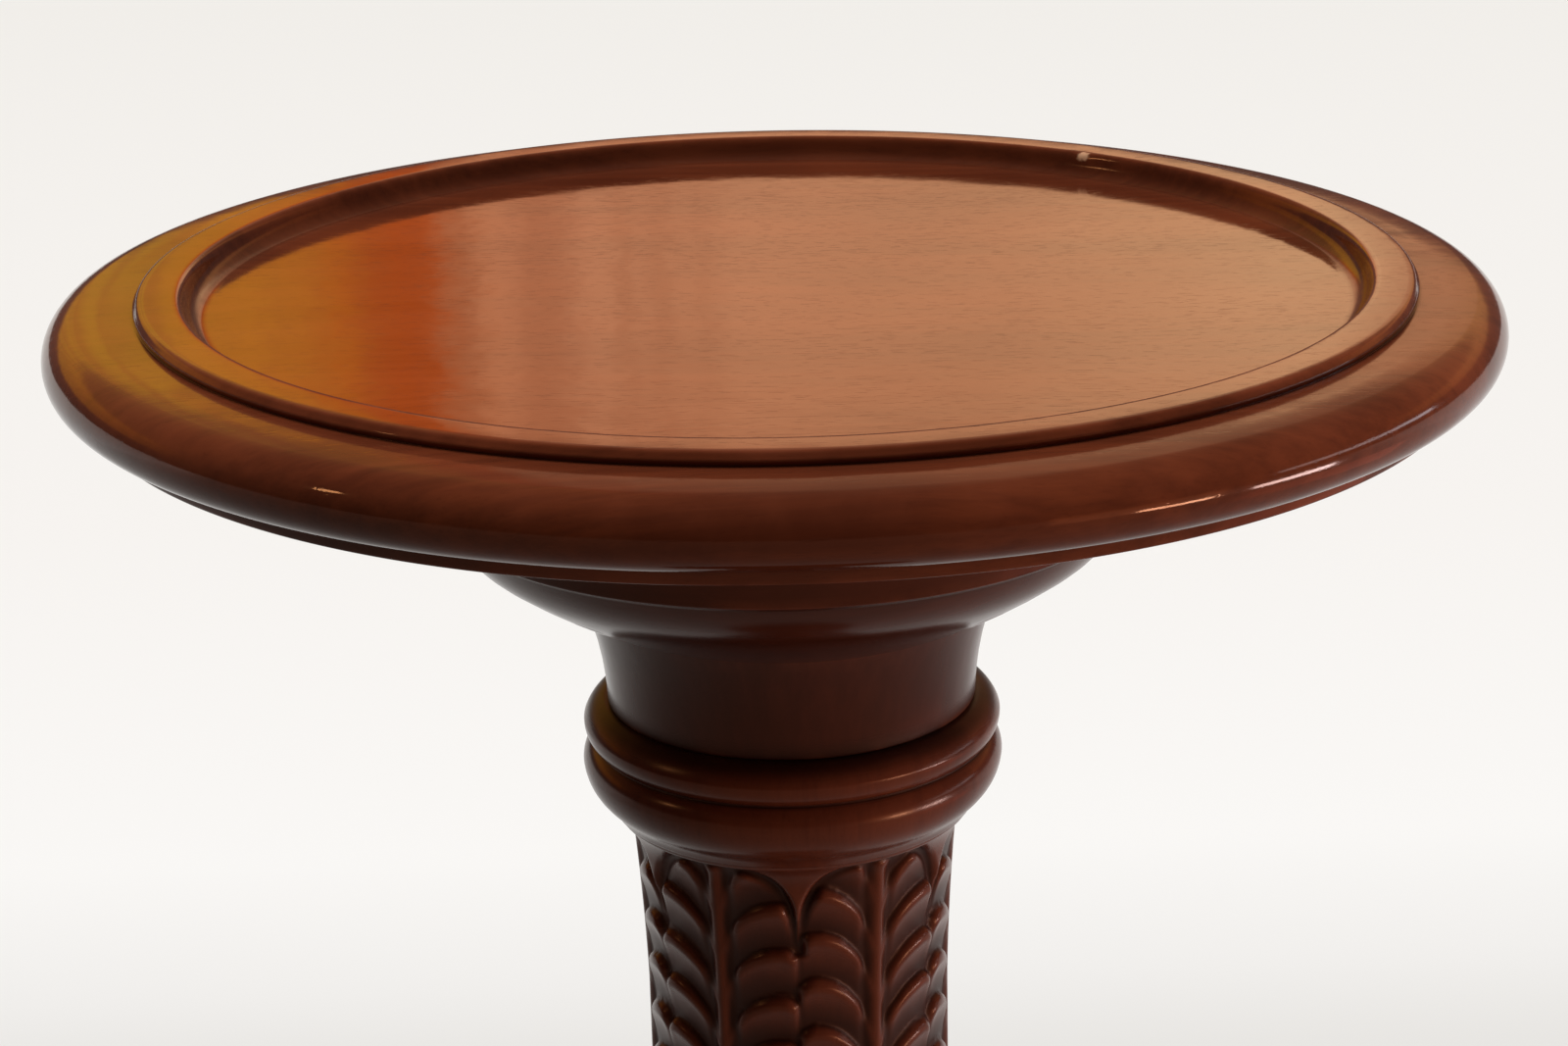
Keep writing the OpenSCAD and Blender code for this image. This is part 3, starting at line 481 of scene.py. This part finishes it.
def noise(tree, vector, stretch, detail=2.0, roughness=0.5, shift=(0, 0, 0)):
    """Noise on coordinates that are stretched by three numbers, so that 1 over a number is the size in metres."""
    placed = add(tree, "ShaderNodeMapping", Vector=vector, Scale=stretch, Location=shift).outputs[0]
    return add(tree, "ShaderNodeTexNoise", Vector=placed, Scale=1.0, Detail=detail, Roughness=roughness).outputs[0]


def folds(tree, place):
    """Noise along one number."""
    return add(tree, "ShaderNodeTexNoise", {"noise_dimensions": "1D"}, W=place, Scale=1.0, Detail=2.0).outputs[0]


def fill_ramp(ramp, stops):
    """Gives a color ramp its stops. Each is a position with a colour, and one number in place of a colour is a grey."""
    for k, (position, colour) in enumerate(stops):
        stop = ramp.elements[k] if k < 2 else ramp.elements.new(position)
        stop.position, stop.color = position, (*(float(v) for v in np.broadcast_to(colour, 3)), 1)


def new_material(name):
    """A new material with its node tree and its shader."""
    material = bpy.data.materials.new(name)
    material.use_nodes = True
    return material, material.node_tree, material.node_tree.nodes["Principled BSDF"]


def new_group(name, inputs, outputs):
    """An empty node group with its sockets. Each input is a label, a kind and a value, and an output has no value."""
    tree = bpy.data.node_groups.new(name, "ShaderNodeTree")
    for label, kind, value in inputs:
        socket = tree.interface.new_socket(label, in_out="INPUT", socket_type="NodeSocket" + kind)
        if value is not None:
            socket.default_value = value
    for label, kind in outputs:
        tree.interface.new_socket(label, in_out="OUTPUT", socket_type="NodeSocket" + kind)
    return tree, tree.nodes.new("NodeGroupInput"), tree.nodes.new("NodeGroupOutput")


# Mahogany: figure, streaks and pores.

def make_mahogany():
    """Figure of mahogany with its grain along X, on coordinates in metres: broad bands, fine streaks along the grain,
    faint ribbons across it, and short dark pores. Its height, in millimetres, is that of the pores and streaks."""
    tree, given, out = new_group(
        "mahogany grain",
        [("Vector", "Vector", None), ("Pale", "Color", (0.36, 0.09, 0.035, 1)),
         ("Deep", "Color", (0.2, 0.04, 0.014, 1)), ("Figure", "Float", 1.0), ("Pores", "Float", 1.0)],
        [("Color", "Color"), ("Height", "Float")])
    v = given.outputs["Vector"]
    sway = noise(tree, v, (5, 9, 9), 2)
    sway = add(tree, "ShaderNodeVectorMath", {"operation": "SCALE"}, _0=(0, 1, 0.6), Scale=sums(
        tree, "MULTIPLY", sums(tree, "SUBTRACT", sway, 0.5), 0.05)).outputs[0]
    v = add(tree, "ShaderNodeVectorMath", {"operation": "ADD"}, _0=v, _1=sway).outputs[0]
    bands = noise(tree, v, (2.2, 34, 34), 3, 0.55)
    streaks = noise(tree, v, (11, 360, 360), 3, 0.6)
    ribbons = noise(tree, v, (26, 16, 16), 2, 0.5, (3, 1, 7))
    pores = noise(tree, v, (210, 1500, 1500), 1, 0.5)
    pores = sums(tree, "MULTIPLY", spread(tree, pores, 0.60, 0.72), given.outputs["Pores"])
    share = sums(tree, "MULTIPLY_ADD", sums(tree, "SUBTRACT", bands, 0.5), 1.1, 0.5)
    share = sums(tree, "MULTIPLY_ADD", sums(tree, "SUBTRACT", streaks, 0.5), 0.7, share)
    share = sums(tree, "MULTIPLY_ADD", sums(tree, "SUBTRACT", ribbons, 0.5), 0.55, share)
    share = sums(tree, "MULTIPLY_ADD", sums(tree, "SUBTRACT", share, 0.5), given.outputs["Figure"], 0.5)
    share = spread(tree, share, 0.05, 0.95)
    colour = mixed(tree, share, given.outputs["Deep"], given.outputs["Pale"])
    colour = mixed(tree, sums(tree, "MULTIPLY", pores, 0.30), colour, (0.03, 0.006, 0.003, 1))
    height = sums(tree, "MULTIPLY_ADD", pores, -0.012, sums(tree, "MULTIPLY", streaks, 0.008))
    for label, value in (("Color", colour), ("Height", height)):
        tree.links.new(value, out.inputs[label])
    return tree


def make_polish_and_shade():
    """Old shellac over the wood, with painted shade: hollows and corners are darkened, partly as old polish gathered
    there and partly as painted shade; it is rubbed paler on the arrises, and is a little uneven in gloss. Its height is
    the slow wave that hand turning leaves, in millimetres."""
    tree, given, out = new_group(
        "old polish and shade",
        [("Color", "Color", (0.3, 0.06, 0.02, 1)), ("Vector", "Vector", None), ("Hollow", "Float", 0.0),
         ("Sharp", "Float", 0.0), ("Dark", "Color", (0.012, 0.003, 0.002, 1)),
         ("Rubbed", "Color", (0.30, 0.075, 0.035, 1)), ("Dirt", "Float", 1.0), ("Gloss Roughness", "Float", 0.17)],
        [("Color", "Color"), ("Roughness", "Float"), ("Height", "Float")])
    v = given.outputs["Vector"]
    patches = noise(tree, v, (45, 45, 45), 4, 0.6)
    cloud = noise(tree, v, (11, 11, 11), 3, 0.5, (5, 2, 9))
    # Hollows and corners are mixed towards the Dark colour: partly old polish gathered there, partly painted shade.
    dirt = sums(tree, "MULTIPLY", given.outputs["Hollow"], sums(tree, "MULTIPLY_ADD", patches, 0.9, 0.45))
    dirt = sums(tree, "MULTIPLY", spread(tree, dirt, 0.05, 0.95), given.outputs["Dirt"])
    rubbed = sums(tree, "MULTIPLY", given.outputs["Sharp"], spread(tree, patches, 0.42, 0.68))
    colour = mixed(tree, sums(tree, "MULTIPLY", dirt, 0.88), given.outputs["Color"], given.outputs["Dark"])
    colour = mixed(tree, sums(tree, "MULTIPLY", rubbed, 0.22), colour, given.outputs["Rubbed"])
    gloss = sums(tree, "MULTIPLY_ADD", cloud, 0.10, sums(tree, "SUBTRACT", given.outputs["Gloss Roughness"], 0.05))
    gloss = sums(tree, "MULTIPLY_ADD", dirt, 0.20, gloss)
    gloss = sums(tree, "MULTIPLY_ADD", spread(tree, patches, 0.62, 0.75), 0.05, gloss)
    wave = noise(tree, v, (60, 60, 60), 2, 0.5, (1, 8, 3))
    height = sums(tree, "MULTIPLY_ADD", wave, 0.10, sums(tree, "MULTIPLY", patches, 0.02))
    for label, value in (("Color", colour), ("Roughness", gloss), ("Height", height)):
        tree.links.new(value, out.inputs[label])
    return tree


MAHOGANY, POLISH_AND_SHADE = make_mahogany(), make_polish_and_shade()


def wood(name, grain="z", pale=(0.125, 0.028, 0.013, 1), deep=(0.068, 0.015, 0.008, 1), shift=(0, 0, 0), figure=1.0,
         pores=0.35, dirt=1.0, roughness=0.20, knock=None, has_marks=True):
    """Polished mahogany for one piece. grain is the axis that its fibres follow, pale and deep are its two tones,
    shift takes each piece from another place in the grain, and knock is a place where the polish is knocked off.
    has_marks says whether its mesh has the marks hollow and sharp."""
    material, tree, shader = new_material(name)
    where = add(tree, "ShaderNodeTexCoord").outputs["Object"]
    turned = {"x": (0, 0, 0), "z": (0, math.radians(90), 0)}[grain]
    v = add(tree, "ShaderNodeMapping", Vector=where, Rotation=turned, Location=shift).outputs[0]
    grain_node = add(tree, "ShaderNodeGroup", {"node_tree": MAHOGANY}, Vector=v, Pale=pale, Deep=deep, Figure=figure,
                     Pores=pores)
    # The darkening setting below scales the painted shade in hollows and corners, together with the old polish gathered
    # there.
    polish = add(tree, "ShaderNodeGroup", {"node_tree": POLISH_AND_SHADE}, Color=grain_node.outputs["Color"], Vector=where,
                 Dirt=dirt, Gloss_Roughness=roughness)
    if has_marks:
        for mark, label in (("hollow", "Hollow"), ("sharp", "Sharp")):
            tree.links.new(add(tree, "ShaderNodeAttribute", {"attribute_name": mark}).outputs["Fac"],
                           polish.inputs[label])
    colour, rough = polish.outputs["Color"], polish.outputs["Roughness"]
    if knock:
        near = add(tree, "ShaderNodeVectorMath", {"operation": "DISTANCE"}, _0=where, _1=knock).outputs["Value"]
        ragged = sums(tree, "MULTIPLY_ADD", noise(tree, where, (900, 900, 900), 2), 0.0016, near)
        bare = spread(tree, ragged, 0.0030, 0.0020)
        colour = mixed(tree, bare, colour, (0.62, 0.36, 0.22, 1))
        rough = sums(tree, "MULTIPLY_ADD", bare, 0.45, rough)
    tree.links.new(colour, shader.inputs["Base Color"])
    tree.links.new(rough, shader.inputs["Roughness"])
    # Old shellac mirrors less than new varnish, and in a warm tone.
    shader.inputs["IOR"].default_value = 1.3
    shader.inputs["Specular Tint"].default_value = (0.9, 0.45, 0.30, 1)
    # Both heights are in millimetres.
    height = sums(tree, "ADD", grain_node.outputs["Height"], polish.outputs["Height"])
    bump = add(tree, "ShaderNodeBump", Strength=1.0, Distance=MM, Height=height)
    tree.links.new(bump.outputs[0], shader.inputs["Normal"])
    return material


def steel(name, colour=(0.32, 0.31, 0.29, 1), rust=0.4):
    """Old steel of a screw, washer or glide: grey, with brown stain in patches and a scratched, uneven gloss."""
    material, tree, shader = new_material(name)
    where = add(tree, "ShaderNodeTexCoord").outputs["Object"]
    stain = spread(tree, noise(tree, where, (220, 220, 220), 4, 0.6), 0.45, 0.7, 0.0, rust)
    scratch = noise(tree, where, (2600, 260, 900), 3, 0.6)
    tree.links.new(mixed(tree, stain, colour, (0.09, 0.035, 0.015, 1)), shader.inputs["Base Color"])
    tree.links.new(sums(tree, "SUBTRACT", 1.0, sums(tree, "MULTIPLY", stain, 0.8)), shader.inputs["Metallic"])
    tree.links.new(sums(tree, "MULTIPLY_ADD", stain, 0.5, sums(tree, "MULTIPLY_ADD", scratch, 0.25, 0.22)),
                   shader.inputs["Roughness"])
    bump = add(tree, "ShaderNodeBump", Strength=1.0, Distance=MM,
               Height=sums(tree, "MULTIPLY_ADD", stain, 0.03, sums(tree, "MULTIPLY", scratch, 0.02)))
    tree.links.new(bump.outputs[0], shader.inputs["Normal"])
    return material


FINISH = {
    # The board gets about half of the painted darkening in its hollows.
    "top": wood("polished board", "x", (0.145, 0.033, 0.013, 1), (0.080, 0.018, 0.008, 1), figure=1.4, pores=0.4,
                dirt=0.55, roughness=0.08, knock=(KNOCK_X * MM, KNOCK_Y * MM, (TOP_Z - 0.2) * MM)),
    # Painted shade: the collar and the neck get darker tones than the rest, for the shade under the board, and the foot
    # neck shares the neck's tones.
    "under_collar": wood("polished collar", "x", (0.078, 0.017, 0.008, 1), (0.044, 0.010, 0.005, 1), (0.31, 0.07, 0.4)),
    "neck": wood("polished neck", "z", (0.070, 0.015, 0.008, 1), (0.040, 0.009, 0.005, 1), (0.11, 0.57, 0.2)),
    "upper_ring": wood("polished ring", "z", shift=(0.71, 0.17, 0.9)),
    "lower_ring": wood("polished foot ring", "z", shift=(0.51, 0.87, 0.3)),
    "lower_neck": wood("polished foot neck", "z", (0.070, 0.015, 0.008, 1), (0.040, 0.009, 0.005, 1),
                       (0.91, 0.27, 0.6)),
    "column": wood("polished carving", "z", shift=(0.2, 0.4, 0.1), figure=0.8, roughness=0.26),
    "socle": wood("polished socle", "z", shift=(0.33, 0.77, 0.5)),
    "step_disc": wood("polished step", "x", shift=(0.43, 0.37, 0.8)),
    "plinth_front_board": wood("polished front board", "x", shift=(0.63, 0.47, 0.1)),
    "plinth_middle_board": wood("polished middle board", "x", shift=(0.93, 0.97, 0.7)),
    "plinth_back_board": wood("polished back board", "x", shift=(0.13, 0.67, 0.2)),
    "front_foot": wood("polished front foot", "z", shift=(0.73, 0.07, 0.3)),
    "right_foot": wood("polished right foot", "z", shift=(0.23, 0.29, 0.5)),
    "left_foot": wood("polished left foot", "z", shift=(0.83, 0.61, 0.7)),
}
for piece, node in made:
    piece.data.materials.append(FINISH[node])
    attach(piece, "root")
    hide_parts(node)

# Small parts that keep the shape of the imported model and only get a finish.
KEPT = {
    "collar_plugs": wood("plug wood", "x", shift=(0.5, 0.2, 0.4), has_marks=False),
    "plinth_tongues": wood("tongue wood", "x", (0.4, 0.2, 0.1, 1), (0.28, 0.12, 0.06, 1), roughness=0.6,
                           has_marks=False),
    "collar_screws": steel("collar screw steel"),
    "plinth_screws": steel("plinth screw steel"),
    "coach_screw": steel("coach screw steel", (0.25, 0.24, 0.23, 1), 0.6),
    "coach_washer": steel("washer steel", (0.30, 0.29, 0.27, 1), 0.5),
    "foot_glides": steel("glide steel", (0.42, 0.41, 0.39, 1), 0.25),
}
for node, finish in KEPT.items():
    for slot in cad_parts[node].material_slots:
        slot.material = finish


# Floor, light and camera.

# The floor's tone changes with the distance behind the stand, over this many metres. It is painted darker in front of
# the stand and up to about 2 m behind it, as painted shade, and a little darker again far behind.
FLOOR_DEPTH = 8.0
floor = put_mesh("floor", np.array([[-30, -30, 0], [30, -30, 0], [30, 30, 0], [-30, 30, 0]], float) / MM,
                 [np.array([[0, 1, 2, 3]])])
paint, tree, shader = new_material("pale floor")
tree.nodes.remove(shader)
where = add(tree, "ShaderNodeSeparateXYZ", Vector=add(tree, "ShaderNodeTexCoord").outputs["Object"])
ahead_part = sums(tree, "DIVIDE", where.outputs[1], FLOOR_DEPTH)
tone = add(tree, "ShaderNodeValToRGB", Fac=ahead_part)
# The low stops near the stand are painted shadow; the far stops are the backdrop's tone.
fill_ramp(tone.color_ramp, [(metres / FLOOR_DEPTH, colour) for metres, colour in (
    (0.10, 0.42), (1.57, (0.80, 0.80, 0.785)), (1.70, (0.89, 0.89, 0.88)), (1.95, (0.985, 0.985, 0.975)),
    (2.9, (0.96, 0.945, 0.925)), (6.6, (0.90, 0.89, 0.86)))])
# The camera and the polish see the painted tone. All other light meets a dim floor, so that little of it comes back.
seen = add(tree, "ShaderNodeEmission", Color=tone.outputs[0], Strength=0.78)
seen_lit = add(tree, "ShaderNodeBsdfDiffuse", Color=(0.17, 0.17, 0.168, 1))
seen_both = add(tree, "ShaderNodeAddShader", _0=seen.outputs[0], _1=seen_lit.outputs[0])
unseen = add(tree, "ShaderNodeBsdfDiffuse", Color=(0.06, 0.055, 0.05, 1))
path = add(tree, "ShaderNodeLightPath")
looking = sums(tree, "MAXIMUM", path.outputs["Is Camera Ray"],
               sums(tree, "MAXIMUM", path.outputs["Is Glossy Ray"], path.outputs["Is Transmission Ray"]))
both = add(tree, "ShaderNodeMixShader", Fac=looking, _1=unseen.outputs[0], _2=seen_both.outputs[0])
tree.links.new(both.outputs[0], tree.nodes["Material Output"].inputs[0])
floor.data.materials.append(paint)

# The polish mirrors a warm room behind the stand. From left to right it has a yellow wall with a lamp, an orange
# curtain, a pale wall that gets brighter towards a window, and a dim wall. Each line is an azimuth in degrees and
# the colour there.
WALL = ((-60, (1.1, 0.4, 0.07)), (-13, (1.5, 0.75, 0.06)), (-9, (1.75, 0.6, 0.03)), (-7.4, (1.4, 0.2, 0.0)),
        (-6.5, (1.4, 0.2, 0.0)), (-6, (1.85, 0.7, 0.3)), (-4.5, (2.05, 0.9, 0.45)), (4, (2.15, 1.1, 0.55)),
        (10, (2.6, 1.55, 0.8)), (13, (1.6, 0.8, 0.4)), (18, (1.15, 0.55, 0.2)), (60, (0.9, 0.3, 0.1)))
ROOM = (0.085, 0.075, 0.07, 1)
WALL_SPAN = 120     # degrees of azimuth that the wall takes up
BRIGHTEST = 3.0     # a ramp holds colours up to 1, so the wall's are divided by this and multiplied again

world = bpy.data.worlds.new("room")
bpy.context.scene.world = world
world.use_nodes = True
tree = world.node_tree
tree.nodes.clear()
where = add(tree, "ShaderNodeSeparateXYZ", Vector=add(tree, "ShaderNodeTexCoord").outputs["Generated"])
x, y, z = where.outputs
azimuth = sums(tree, "DIVIDE", sums(tree, "ARCTAN2", x, y), math.radians(WALL_SPAN))
across = add(tree, "ShaderNodeValToRGB", Fac=sums(tree, "ADD", azimuth, 0.5))
fill_ramp(across.color_ramp, [(turn / WALL_SPAN + 0.5, np.array(colour) / BRIGHTEST) for turn, colour in WALL])
# How bright the wall is at a height. Each stop is the sine of an elevation and a share of the full brightness.
rise = add(tree, "ShaderNodeValToRGB", Fac=z)
fill_ramp(rise.color_ramp, ((0.10, 0.0), (0.165, 0.04), (0.195, 0.2), (0.212, 0.75), (0.26, 0.92), (0.295, 1.0),
                            (0.312, 0.85), (0.345, 0.36), (0.42, 0.27), (0.60, 0.16), (1.0, 0.04)))
# A yellow glow stands low at the left, and past the two ends of the wall its light fades out.
low_left = sums(tree, "MULTIPLY", spread(tree, azimuth, -0.055, -0.09), spread(tree, z, 0.12, 0.17, 0.0, 0.75))
level = sums(tree, "MAXIMUM", rise.outputs[0], sums(tree, "MULTIPLY", low_left, spread(tree, z, 0.28, 0.22)))
level = sums(tree, "MULTIPLY", level, spread(tree, sums(tree, "ABSOLUTE", azimuth), 0.52, 0.70, 1.0, 0.0))
# The curtain at the left hangs in upright folds, and the pale wall at the right has slanted smears.
curtain = folds(tree, sums(tree, "MULTIPLY", azimuth, 95.0))
curtain = sums(tree, "MULTIPLY", spread(tree, curtain, 0.42, 0.62), spread(tree, azimuth, -0.004, -0.014))
wall = mixed(tree, sums(tree, "MULTIPLY", curtain, 0.40), across.outputs[0], (0.28, 0.07, 0.02, 1))
slant = folds(tree, sums(tree, "MULTIPLY_ADD", azimuth, 80.0, sums(tree, "MULTIPLY", z, 80.0)))
slant = sums(tree, "MULTIPLY", spread(tree, slant, 0.40, 0.64), spread(tree, azimuth, -0.01, 0.02))
wall = mixed(tree, sums(tree, "MULTIPLY", slant, 0.30), wall, (0.38, 0.17, 0.085, 1))
wall = add(tree, "ShaderNodeVectorMath", {"operation": "SCALE"}, _0=wall, Scale=BRIGHTEST).outputs[0]
room = add(tree, "ShaderNodeBackground", Color=mixed(tree, level, ROOM, wall), Strength=1.0)
pale = add(tree, "ShaderNodeBackground", Color=(0.90, 0.89, 0.86, 1), Strength=1.0)
path = add(tree, "ShaderNodeLightPath")
both = add(tree, "ShaderNodeMixShader", Fac=path.outputs["Is Camera Ray"], _1=room.outputs[0], _2=pale.outputs[0])
tree.links.new(both.outputs[0], add(tree, "ShaderNodeOutputWorld").inputs[0])


def lamp(name, azimuth, elevation, strength, colour, width):
    """A far lamp. Azimuth 0 is behind the object and 90 to its right; width is how wide it looks, in degrees."""
    data = bpy.data.lights.new(name, "SUN")
    data.energy, data.color, data.angle = strength, colour, math.radians(width)
    item = bpy.data.objects.new(name, data)
    bpy.context.scene.collection.objects.link(item)
    item.rotation_euler = (math.radians(90 - elevation), 0, math.radians(180 - azimuth))
    return item


lamp("broad soft light overhead", 5, 80, 2.7, (1.0, 0.97, 0.93), 50).visible_glossy = False
lamp("warm lamp at the left", -103, 31, 0.13, (1.0, 0.72, 0.36), 4.5)

SOFT_BOX_FAR = 2.0    # metres from a soft box to the column


def soft_box(name, azimuth, elevation, size, power, colour):
    """A flat lamp that is aimed at the upper ring. Its azimuth counts as a far lamp's. The camera doesn't see it."""
    data = bpy.data.lights.new(name, "AREA")
    data.shape, (data.size, data.size_y), data.energy, data.color = "RECTANGLE", size, power, colour
    item = bpy.data.objects.new(name, data)
    bpy.context.scene.collection.objects.link(item)
    turn, lift = math.radians(azimuth), math.radians(elevation)
    item.location = (SOFT_BOX_FAR * math.sin(turn) * math.cos(lift), SOFT_BOX_FAR * math.cos(turn) * math.cos(lift),
                     UPPER_RING_Z * MM + SOFT_BOX_FAR * math.sin(lift))
    item.rotation_euler = (math.pi / 2 - lift, 0, math.pi - turn)
    item.visible_camera = False


soft_box("window at the right", 88, 9, (1.3, 0.12), 3.0, (0.75, 0.88, 1.0))
soft_box("warm light at the right front", 130, -2, (1.0, 0.5), 3.0, (1.0, 0.45, 0.22))
soft_box("lamp at the right front", 124, -7, (0.42, 0.15), 9.5, (1.0, 0.80, 0.60))
soft_box("low red light at the right", 92, -22, (1.2, 0.5), 2.0, (1.0, 0.22, 0.14))
soft_box("lamp low at the right", 103, -7, (0.55, 0.19), 13.0, (0.92, 0.92, 1.0))

# The camera stands where the photo was taken: its turns in radians, its place in metres, and in pixels how wide the
# photo is and how far from its left edge the axis of the lens lies.
PHOTO_W, LENS_AXIS_X = 1600, 976.2
yaw, pitch, roll = 0.0567662, 0.3324942, -0.00505946
camera_place = (0, -0.67927, 1.22212)
ahead = np.array([math.sin(yaw) * math.cos(pitch), math.cos(yaw) * math.cos(pitch), -math.sin(pitch)])
right = np.array([math.cos(yaw), -math.sin(yaw), 0.0])
upward = np.cross(right, ahead)
right, upward = (math.cos(roll) * right + math.sin(roll) * upward, math.cos(roll) * upward - math.sin(roll) * right)
camera = bpy.data.objects.new("camera", bpy.data.cameras.new("camera"))
bpy.context.scene.collection.objects.link(camera)
turned = np.eye(4)
turned[:3, 0], turned[:3, 1], turned[:3, 2], turned[:3, 3] = right, upward, -ahead, camera_place
camera.matrix_world = Matrix(turned.tolist())
camera.data.sensor_width, camera.data.lens = 36, 72
camera.data.shift_x = (PHOTO_W / 2 - LENS_AXIS_X) / PHOTO_W
camera.data.clip_start = 0.01
bpy.context.scene.camera = camera
bpy.context.scene.view_settings.view_transform = "Standard"

bpy.context.view_layer.update()
